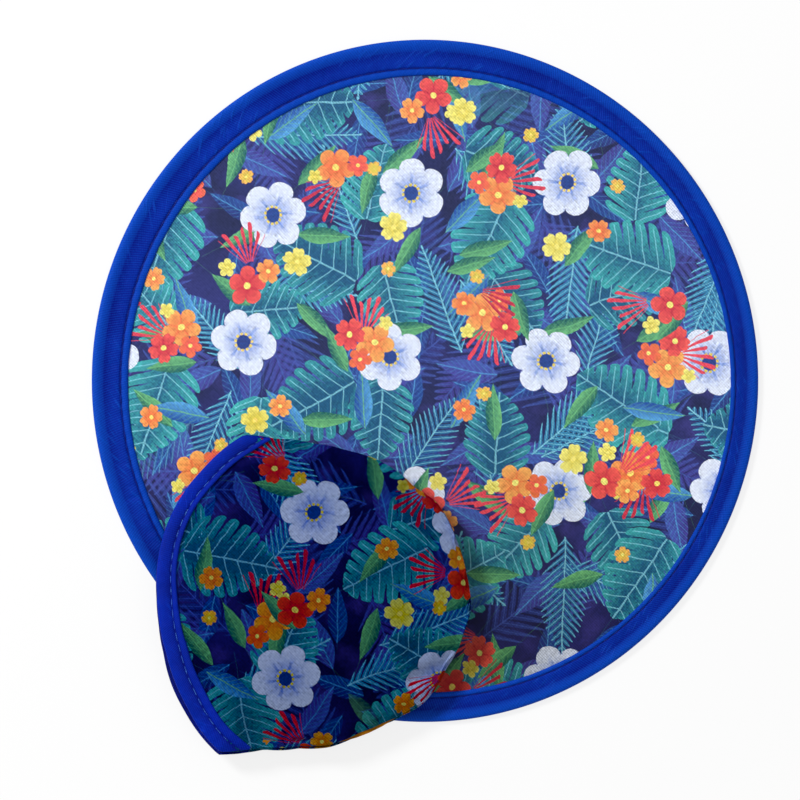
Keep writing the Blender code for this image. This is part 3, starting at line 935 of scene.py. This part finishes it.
def buildHoop(material):
    # the flat spring inside the tape, in stretches from the middle of one run of the solid model to the
    # middle of the next
    low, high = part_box("hoop_link_07")
    half = (high[2] - low[2]) / 2
    outer = fanMiddle.x - low[0]
    inner = 2 * hingeRadius - outer
    corners = ((outer, 0, half), (outer, 0, -half), (inner, 0, -half), (inner, 0, half))
    for index in range(runs + 1):
        start, sweep = pieceSpan(index)
        work = bmesh.new()
        face = work.faces.new([work.verts.new(spot) for spot in corners])
        bmesh.ops.spin(work, geom=[face, *face.edges, *face.verts], cent=(0, 0, 0), axis=(0, 0, 1),
                       angle=sweep, steps=round(ringSettings["hoopSteps"] * sweep / linkAngle))
        bmesh.ops.recalc_face_normals(work, faces=work.faces)
        mesh = bpy.data.meshes.new(f"spring_hoop_{index:02d}")
        work.to_mesh(mesh)
        work.free()
        mesh.transform(Matrix.Translation(fanMiddle) @ Matrix.Rotation(start, 4, "Z"))
        makeOval(mesh)
        shadeRound(mesh)
        attachPiece(newObject(mesh.name, mesh, material), index, "hoop_link")


# Stitches: one bar of thread on each step of a path

stitchSettings = {
    "fan": {"length": 4.5 * mm, "width": 0.40 * mm, "tall": 0.34 * mm, "sway": 0.05, "heightShare": 0.50},
    "mouth": {"length": 3.3 * mm, "width": 0.28 * mm, "tall": 0.34 * mm, "sway": 0.05, "pitch": 4.3 * mm,
              "height": 0.50 * mm, "pathSteps": 1600, "seeds": (31, 47),
              "pastEnds": 0.3},  # radians
}


def stitchValues(settings, seed, thread):
    sizes = {label.title(): settings[label] for label in ("length", "width", "tall", "sway")}
    return sizes | {"Seed": seed, "Thread": thread}


def stitchTree():
    tree, given, sink = geometryTree("stitches", stitchValues(stitchSettings["fan"], 0, None))
    ends = addNode(tree, "GeometryNodeInputMeshEdgeVertices")
    first, second = field(tree, ends.outputs["Position 1"]), field(tree, ends.outputs["Position 2"])
    run = valueOf(tree, "ShaderNodeVectorMath", {0: second, 1: first}, operation="SUBTRACT")
    kept = addNode(tree, "GeometryNodeCaptureAttribute", domain="EDGE")
    kept.capture_items.new("VECTOR", "run")
    plug(tree, kept.inputs["Geometry"], given["Geometry"])
    plug(tree, kept.inputs[1], run)
    paths, runs = [field(tree, kept.outputs[k]) for k in (0, 1)]
    points = valueOf(tree, "GeometryNodeMeshToPoints", {"Mesh": paths}, mode="EDGES")
    lie = valueOf(tree, "FunctionNodeAlignRotationToVector", {"Vector": runs}, axis="X")
    either = {2: given["Sway"] * -1, 3: given["Sway"], "Seed": given["Seed"]}
    sway = combine(tree, 0.0, 0.0, valueOf(tree, "FunctionNodeRandomValue", either, 1, data_type="FLOAT"))
    twist = valueOf(tree, "FunctionNodeRotateRotation", {0: lie, 1: sway}, rotation_space="LOCAL")
    bar = valueOf(tree, "GeometryNodeMeshUVSphere", {"Segments": 8, "Rings": 6, "Radius": 0.5})
    size = combine(tree, given["Length"], given["Width"], given["Tall"])
    placed = valueOf(tree, "GeometryNodeInstanceOnPoints", {
        "Points": points, "Instance": bar, "Rotation": twist, "Scale": size,
    })
    return finishShape(tree, sink, placed, given["Thread"], smooth=True)


def sewPath(name, paths, tree, settings, seed, thread):
    mesh = bpy.data.meshes.new(name)
    points, edges = [], []
    for path in paths:
        edges += [(len(points) + k, len(points) + k + 1) for k in range(len(path) - 1)]
        points += [tuple(p) for p in path]
    mesh.from_pydata(points, edges, [])
    piece = newObject(name, mesh)
    growNodes(piece, tree, stitchValues(settings, seed, thread))
    return piece


def buildFanStitches(tree, stitchRadius, thread):
    s = stitchSettings["fan"]
    height = (casingTop - fanMiddle.z) * s["heightShare"]
    for index in range(runs + 1):
        start, sweep = pieceSpan(index)
        count = round(ringSettings["stitchesPerRun"] * sweep / linkAngle)
        turns = [start + sweep * k / count for k in range(count + 1)]
        paths = [[onRing(a, stitchRadius, tall) for a in turns] for tall in (height, -height)]
        piece = sewPath(f"edge_stitches_{index:02d}", paths, tree, s, index, thread)
        attachPiece(piece, index)


# The fan's cloth, in eighteen wedges that meet edge to edge

clothSettings = {
    "rings": 30, "columns": 8, "thickness": 0.3 * mm, "tuck": 5.6 * mm,
    "billow": 0.34 * mm, "tightFrom": 0.93, "calmWithin": 0.1, "wedgesPerLoop": 6,
}


def billowAt(x, y):
    # how far the stretched cloth stands off its plane: slack near the middle, tight at the hoop
    s = clothSettings
    reach = math.hypot(x, y) / fanRadius
    slack = max(0.0, 1 - reach / s["tightFrom"]) ** 0.5 * min(1.0, reach / s["calmWithin"])
    wave = math.sin(x * 61 + 1.3 * math.sin(y * 37)) + 0.8 * math.sin(y * 74 + x * 29 + 0.6)
    wave += 0.5 * math.sin((x - y) * 118)
    return s["billow"] * slack * wave / 2


def billowNormal(x, y):
    d = 0.2 * mm
    fallX = billowAt(x - d, y) - billowAt(x + d, y)
    fallY = billowAt(x, y - d) - billowAt(x, y + d)
    return Vector((fallX, fallY, 2 * d)).normalized()


def wedgeMesh(name, start, rim):
    s = clothSettings
    turns = [start + linkAngle * k / s["columns"] for k in range(s["columns"] + 1)]
    reaches = [rim * ring / s["rings"] for ring in range(1, s["rings"] + 1)]
    spots = [(0, 0, 0)] + [(reach * math.cos(a), reach * math.sin(a), 0) for reach in reaches for a in turns]
    faces = [(0, k, k + 1) for k in range(1, len(turns))]
    faces += [(a, d, c, b) for a, b, c, d in quadsBetween(len(reaches), len(turns), 1)]
    mesh = bpy.data.meshes.new(name)
    mesh.from_pydata(spots, [], faces)
    return mesh


def buildCloth(material):
    s = clothSettings
    rim = fanRadius - ringSettings["width"] + s["tuck"]
    for index in range(runs):
        start = openEnd + index * linkAngle
        name = f"cloth_wedge_{index + 1:02d}"
        piece = newObject(name, wedgeMesh(name, start, rim), material)
        mesh = thicken(piece, s["thickness"])
        places = spotsOf(mesh)
        normals = []
        for vertex in mesh.vertices:
            x, y, z = vertex.co
            normals.append(billowNormal(x, y) * (1 if z > 0 else -1))
            vertex.co = fanMiddle + Vector((x, y, z + billowAt(x, y)))
        makeOval(mesh, 1)
        storePlace(mesh, places)
        mesh.shade_smooth()
        mesh.normals_split_custom_set_from_vertices(normals)
        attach(piece, linkNames[index])
        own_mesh(piece)
        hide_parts("fan_cloth")
        rim * rim * linkAngle / 2


# The pouch: two cloth discs sewn round, open at the taped mouth

pouchSettings = {
    "middle": (310, 596),
    # the front's edge in the photograph, from the mouth's upper corner clockwise to its lower corner
    "sewnEdge": [
        (243.8, 435), (276, 438.8), (315, 443.8), (352.5, 452), (375, 458.8), (400, 473.8), (415, 487.5),
        (435, 501), (445, 515), (456, 540), (466, 575), (470, 595), (470, 612), (465, 627), (455, 652),
        (447, 665), (435, 687), (422, 702), (407, 710), (382, 722), (360, 731), (331, 743),
        (300, 744.5), (265, 746), (246, 748.8), (220, 751),
    ],
    "mouthEdge": [
        (202.5, 732.5), (186, 707.5), (172.5, 680), (165, 650), (160, 620), (158, 595), (158.8, 560),
        (167.5, 525), (182.5, 495), (202.5, 470), (222.5, 450),
    ],
    "samples": 1440,
    "softening": (12, 5.0),  # samples to each side, and how wide the softening spreads among them
    "sharpCorner": math.radians(6),
    "backShift": (-0.45 * mm, -1.0 * mm),
    "grid": 96,
    "thickness": 0.5 * mm,
    "tapeHalf": 1.35 * mm,
    "seamLift": 0.4 * mm,
    "mouthFade": 1.07,
    "mouthTuck": 0.8 * mm,
    "arcSteps": 120,
    "printStretch": 0.45,  # share of a place's depth below the top that is added to its way out in the print
    "dentFrom": 0.56,
    "dent": 1.0 * mm,
    "edgeRoundness": 0.6,
    "pucker": 0.42 * mm,
    "puckerReach": 0.055,
    "puckerClear": 0.25,  # radians from the mouth's corners to where the gathers are at their full height
    "frames": 22,
    "mostMove": 2.4 * mm,
    "rise": 1.2 * mm,  # how far the pressed cloth stands above the shape it starts from
    "bendFrom": 2 * mm,
    "bendTo": 24 * mm,
    "sharpFrom": 60,
}
# the cloth is cut a little larger than the lens it fills, so that pressing it out gathers it at the seam
pouchCloth = {
    "quality": 6, "mass": 0.12, "tension_stiffness": 22, "compression_stiffness": 22, "shear_stiffness": 8,
    "bending_stiffness": 0.12, "shrink_min": -0.035, "use_pressure": True, "uniform_pressure_force": 2.2,
    "vertex_group_mass": "sewn",
}
tapeSettings = {
    "width": 7.7 * mm,
    "widest": 9.0 * mm,
    # from the mouth's upper corner to its lower one: share of the way, width, width inside the stitches
    "widths": [(0.0, 6.9, 1.9), (0.25, 6.7, 2.1), (0.5, 7.6, 2.2), (0.8, 8.8, 3.5), (1.0, 9.0, 3.8)],
    "grooveShare": 0.635,
    "steps": 150,
    "pastCorner": 24 * mm,
    "leastLeft": 0.96,
    "weld": 0.004 * mm,
    "sharpFrom": 55,
    # the upper skin from the fold inward: share of the width, millimetres above the panel's middle surface
    "skinShares": [
        (0.0, 0.0), (0.008, 0.32), (0.035, 0.56), (0.09, 0.74), (0.18, 0.86), (0.32, 0.90), (0.46, 0.84),
        (0.56, 0.74), (0.605, 0.60), (0.635, 0.50), (0.665, 0.62), (0.71, 0.84), (0.80, 1.02),
        (0.90, 1.08), (0.965, 1.00), (1.0, 0.66),
    ],
}


class pouchShape:
    # the pouch's outline and the height of its two panels, all measured from its middle
    def __init__(self):
        s = pouchSettings
        middle = Vector(fromPhoto(*s["middle"]))
        outline = np.array([Vector(fromPhoto(*spot)) - middle for spot in s["sewnEdge"] + s["mouthEdge"]])
        self.cornerAngles = [math.atan2(*outline[k][::-1]) % math.tau for k in (0, len(s["sewnEdge"]) - 1)]
        # reach over angle, softened everywhere but near the two corners
        dense = np.linspace(-math.pi, math.pi, s["samples"], endpoint=False)
        turns = np.arctan2(outline[:, 1], outline[:, 0])
        order = np.argsort(turns)
        turns = turns[order]
        turns = np.concatenate([turns - math.tau, turns, turns + math.tau])
        sharp = np.interp(dense, turns, np.tile(np.hypot(*outline[order].T), 3))
        many, spread = s["softening"]
        kernel = np.exp(-(np.arange(-many, many + 1) / spread) ** 2)
        around = np.concatenate([sharp[-many:], sharp, sharp[:many]])
        soft = np.convolve(around, kernel / kernel.sum(), "valid")
        near = np.min([np.abs((dense - c + math.pi) % math.tau - math.pi) for c in self.cornerAngles], axis=0)
        blend = np.clip(near / s["sharpCorner"], 0, 1)
        self.reaches = soft * blend + sharp * (1 - blend)
        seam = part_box("pouch_seam")
        self.middle = Vector((fanMiddle.x + middle.x, fanMiddle.y + middle.y, (seam[0][2] + seam[1][2]) / 2))
        self.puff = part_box("pouch_front_panel")[1][2] - self.middle.z - s["thickness"] / 2 - s["rise"]
        # half of a tape's thickness inside its outer face is where the cloth's edge lies
        self.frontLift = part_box("pouch_front_binding")[1][2] - self.middle.z - s["tapeHalf"]
        self.backLift = self.middle.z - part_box("pouch_back_binding")[0][2] - s["tapeHalf"]
        self.mouthMiddle = sum(self.cornerAngles) / 2
        self.mouthHalf = abs(self.cornerAngles[1] - self.cornerAngles[0]) / 2
        # the mouth's edge again, as an arc with its own middle, that can be carried on past the corners
        first, last = self.mouthMiddle - self.mouthHalf, self.mouthMiddle + self.mouthHalf
        rim = np.array([self.edgeSpot(a) for a in np.linspace(first, last, s["arcSteps"] + 1)])
        three = rim[[0, s["arcSteps"] // 2, -1]]
        squares = (three ** 2).sum(axis=1)
        self.arcMiddle = np.linalg.solve(2 * (three[1:] - three[0]), squares[1:] - squares[0])
        out = rim - self.arcMiddle
        self.arcTurns = np.arctan2(out[:, 1], out[:, 0]) % math.tau
        self.arcReaches = np.hypot(out[:, 0], out[:, 1])

    def reach(self, angle):
        count = len(self.reaches)
        at = (angle + math.pi) % math.tau / math.tau * count
        first, share = int(at) % count, at - int(at)
        return self.reaches[first] * (1 - share) + self.reaches[(first + 1) % count] * share

    def edgeSpot(self, angle):
        return self.reach(angle) * math.cos(angle), self.reach(angle) * math.sin(angle)

    def fromMouth(self, angle):
        return math.remainder(angle - self.mouthMiddle, math.tau)

    def height(self, angle, share, lift):
        s = pouchSettings
        turn = min(1.0, abs(self.fromMouth(angle)) / (self.mouthHalf * s["mouthFade"]))
        mouth = max(0.0, math.cos(math.pi / 2 * turn))
        edge = s["seamLift"] + (lift - s["seamLift"]) * mouth
        roundness = s["edgeRoundness"] + (1 - s["edgeRoundness"]) * mouth
        return edge + (self.puff - edge) * max(0.0, 1 - min(1.0, share) ** 2) ** roundness

    def pucker(self, angle, share):
        # small gathers along the sewn edge, strongest a little way in from it and none at the taped mouth
        s = pouchSettings
        clear = min(1.0, (abs(self.fromMouth(angle)) - self.mouthHalf) / s["puckerClear"])
        inward = (1 - share) / s["puckerReach"]
        wave = math.sin(angle * 37 + 2.1 * math.sin(angle * 7))
        wave += 0.7 * math.sin(angle * 59 + 1.3 * math.sin(angle * 11))
        wave *= 0.6 + 0.4 * math.sin(angle * 5 + 1)
        return s["pucker"] * max(0.0, clear) * wave * inward * math.exp(1 - inward)

    def alongMouth(self, turn, inset):
        # a place on the tape's arc, measured from the pouch's middle
        reach = float(np.interp(turn, self.arcTurns, self.arcReaches)) - inset
        return self.arcMiddle[0] + reach * math.cos(turn), self.arcMiddle[1] + reach * math.sin(turn)

    def wayAlong(self, turn):
        return (turn - self.arcTurns[0]) / (self.arcTurns[-1] - self.arcTurns[0])

    def dent(self, way, side):
        # the upper side's mouth is drawn in near its lower corner, where the lower side's tape shows past it
        first = pouchSettings["dentFrom"]
        if side < 0 or not first < way < 1:
            return 0.0
        return pouchSettings["dent"] * math.sin(math.pi * (way - first) / (1 - first)) ** 2

    def shareAt(self, x, y):
        return math.hypot(x, y) / self.reach(math.atan2(y, x))

    def place(self, x, y, tall, side):
        across, along = (0.0, 0.0) if side > 0 else pouchSettings["backShift"]
        return self.middle.x + across + x, self.middle.y + along + y, self.middle.z + side * tall

    def onPanel(self, x, y, lift, side, above=0.0):
        tall = self.height(math.atan2(y, x), self.shareAt(x, y), lift)
        return self.place(x, y, tall + above, side)


def squareToDisc(u, v):
    # an even grid on a square, bent to a disc: its angle and its share of the way to the edge
    if abs(u) < 1e-9 and abs(v) < 1e-9:
        return 0.0, 0.0
    if abs(u) > abs(v):
        share, angle = u, math.pi / 4 * v / u
    else:
        share, angle = v, math.pi / 2 - math.pi / 4 * u / v
    return (angle, share) if share > 0 else (angle + math.pi, -share)


def buildPanel(name, pouch, lift, side, material):
    s = pouchSettings
    count = s["grid"]
    spots, places, pinned = [], [], []
    for row in range(count + 1):
        for column in range(count + 1):
            angle, share = squareToDisc(2 * column / count - 1, 2 * row / count - 1)
            full = pouch.reach(angle)
            turn = pouch.fromMouth(angle) / pouch.mouthHalf
            inMouth = abs(turn) < 1
            if inMouth:
                full -= s["mouthTuck"] + pouch.dent((turn + 1) / 2, side)
            reach = full * share
            tall = pouch.height(angle, share, lift) + pouch.pucker(angle, share)
            spots.append(pouch.place(reach * math.cos(angle), reach * math.sin(angle), tall, side))
            flat = reach + (pouch.puff - tall) * s["printStretch"] * share
            places.append((flat * math.cos(angle), flat * math.sin(angle), side * 0.5))
            if share > 0.999 or (inMouth and full - reach < tapeSettings["widest"]):
                pinned.append(len(spots) - 1)
    mesh = bpy.data.meshes.new(name)
    faces = [quad if side > 0 else quad[::-1] for quad in quadsBetween(count + 1, count + 1)]
    mesh.from_pydata(spots, [], faces)
    storePlace(mesh, places)
    piece = newObject(name, mesh, material)
    inflate(piece, pinned)
    shadeRound(thicken(piece, s["thickness"]), s["sharpFrom"])
    return piece


def inflate(piece, pinned):
    s = pouchSettings
    mesh = piece.data
    start = spotsOf(mesh)
    piece.vertex_groups.new(name="sewn").add(pinned, 1.0, "REPLACE")
    cloth = piece.modifiers.new("cloth", "CLOTH")
    for name, value in pouchCloth.items():
        setattr(cloth.settings, name, value)
    cloth.settings.effector_weights.gravity = 0
    cloth.collision_settings.use_collision = False
    cloth.point_cache.frame_start, cloth.point_cache.frame_end = 1, s["frames"]
    scene = bpy.context.scene
    for frameNumber in range(1, s["frames"] + 1):
        scene.frame_set(frameNumber)
    bpy.context.view_layer.update()
    moved = spotsOf(piece.evaluated_get(bpy.context.evaluated_depsgraph_get()).data) - start
    piece.modifiers.clear()
    piece.vertex_groups.clear()
    length = np.linalg.norm(moved, axis=1)
    print("pouch cloth moved", round(float(length.max()) / mm, 2), "mm at most")
    most = s["mostMove"]
    moved *= (most * np.tanh(length / most) / np.maximum(length, 1e-9))[:, None]
    mesh.vertices.foreach_set("co", (start + moved).ravel())
    mesh.update()
    scene.frame_set(1)


def tapeAt(pouch, turn):
    # the tape's width here, and how far in from its fold its stitches run and it meets the pouch's outline
    shares, widths, lips = zip(*tapeSettings["widths"])
    way = pouch.wayAlong(turn)
    wide = float(np.interp(way, shares, widths)) * mm
    sewn = wide - float(np.interp(way, shares, lips)) * mm
    if 0 <= way <= 1:
        return wide, sewn, 0.0
    outside, inside = 0.0, wide
    if pouch.shareAt(*pouch.alongMouth(turn, wide)) > 1:
        return wide, sewn, wide
    for _ in range(20):
        middle = (outside + inside) / 2
        if pouch.shareAt(*pouch.alongMouth(turn, middle)) > 1:
            outside = middle
        else:
            inside = middle
    return wide, sewn, inside


def buildMouthTape(name, pouch, lift, side, material):
    # tape folded over the mouth's edge: an outline carried along the edge, both legs on the cloth
    s = tapeSettings
    shares = [share for share, _ in s["skinShares"]]
    talls = [tall * mm for _, tall in s["skinShares"]]
    skin = list(zip(shares, talls))
    outline = skin + [(share, -tall) for share, tall in reversed(skin[1:])]
    spots, places = [], []
    alongLength, last, rows = 0.0, None, 0
    spread = s["pastCorner"] / float(pouch.arcReaches[0])
    for turn in np.linspace(pouch.arcTurns[0] - spread, pouch.arcTurns[-1] + spread, s["steps"] + 1):
        wide, sewn, first = tapeAt(pouch, turn)
        if first >= wide * s["leastLeft"]:
            continue   # the tape's end is cut away along the seam
        rows += 1
        edge = Vector((*pouch.alongMouth(turn, 0), 0))
        alongLength += (edge - last).length if last else 0.0
        last = edge
        ripple = 1 + 0.10 * math.sin(alongLength / mm * 1.46) + 0.05 * math.sin(alongLength / mm * 0.61 + 2)
        dent = pouch.dent(pouch.wayAlong(turn), side)
        steps = (0, s["grooveShare"], 1), (0, sewn, wide)
        cutShare = float(np.interp(first, steps[1], steps[0]))
        cutTall = float(np.interp(cutShare, shares, talls))
        for share, tall in outline:
            if share < cutShare:
                share, tall = cutShare, math.copysign(cutTall, tall) if share else 0.0
            x, y = pouch.alongMouth(turn, float(np.interp(share, *steps)) + dent)
            spots.append(pouch.onPanel(x, y, lift, side, tall * ripple))
            places.append((alongLength, share * s["width"], tall))
    mesh = bpy.data.meshes.new(name)
    mesh.from_pydata(spots, [], quadsBetween(rows, len(outline), closed=True))
    storePlace(mesh, places)
    closeMesh(mesh, s["weld"])
    shadeRound(mesh, s["sharpFrom"])
    return newObject(name, mesh, material)


def buildMouthStitches(name, pouch, lift, side, tree, thread, seed):
    s = stitchSettings["mouth"]
    line = []
    past = s["pastEnds"]
    for turn in np.linspace(pouch.arcTurns[0] - past, pouch.arcTurns[-1] + past, s["pathSteps"]):
        wide, sewn, first = tapeAt(pouch, turn)
        if first < sewn - 0.2 * mm:
            line.append(pouch.alongMouth(turn, sewn + pouch.dent(pouch.wayAlong(turn), side)))
    paths = [[], []]
    since = s["pitch"]
    for here, after in zip(line, line[1:]):
        if since >= s["pitch"]:
            since -= s["pitch"]
            for path, above in zip(paths, (s["height"], -s["height"])):
                path.append(pouch.onPanel(*here, lift, side, above))
        since += math.dist(here, after)
    return sewPath(name, paths, tree, s, seed, thread)


def buildPouch(printed, upperTape, lowerTape, stitches, thread):
    pouch = pouchShape()
    corners = [Vector(pouch.onPanel(*pouch.edgeSpot(a), pouch.frontLift, 1)) for a in pouch.cornerAngles]
    sides = (("front", pouch.frontLift, 1), ("back", pouch.backLift, -1))
    tapes, seeds = (upperTape, lowerTape), stitchSettings["mouth"]["seeds"]
    panels = [buildPanel(f"pouch_{name}", pouch, *side, printed) for name, *side in sides]
    folded = [buildMouthTape(f"mouth_tape_{name}", pouch, *side, tape)
              for (name, *side), tape in zip(sides, tapes)]
    sewing = [buildMouthStitches(f"mouth_stitches_{name}", pouch, *side, stitches, thread, seed)
              for (name, *side), seed in zip(sides, seeds)]
    for (upper, lower), slot in ((panels, "pouch_print"), (folded, "binding"), (sewing, "binding")):
        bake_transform(upper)
        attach(lower, "pouch")
    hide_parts("pouch_front_panel", "pouch_lip_panel")
    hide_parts("pouch_back_panel")
    for tape, (name, *_) in zip(folded, sides):
        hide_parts(f"pouch_{name}_binding")


def dressNode(name, material):
    node = frame["nodes"][name]
    if not node.material_slots:
        node.data.materials.append(material)
    for slot in node.material_slots:
        slot.material = material


buildStage()
print("stage built")
group = buildPrint()
fanPrint, pouchPrint = [clothMaterial(name, group) for name in clothLooks]
fanTape, mouthTape, backTape = [tapeMaterial(name) for name in tapeLooks]
navyThread = threadMaterial("navyThread", (0, 6, 88), (4, 34, 142))
paleThread = threadMaterial("paleThread", (0, 34, 150), (84, 146, 232))
steel = steelMaterial("springSteel")
print("materials mixed:", len(group.nodes), "nodes in the print")
stitchRadius = buildRing(fanTape)
buildHoop(steel)
print("ring built")
stitches = stitchTree()
buildFanStitches(stitches, stitchRadius, navyThread)
print("ring sewn")
buildCloth(fanPrint)
print("cloth stretched")
buildPouch(pouchPrint, mouthTape, backTape, stitches, paleThread)
print("pouch filled")
dressNode("hoop_splice", steel)
dressNode("pouch_seam", pouchPrint)
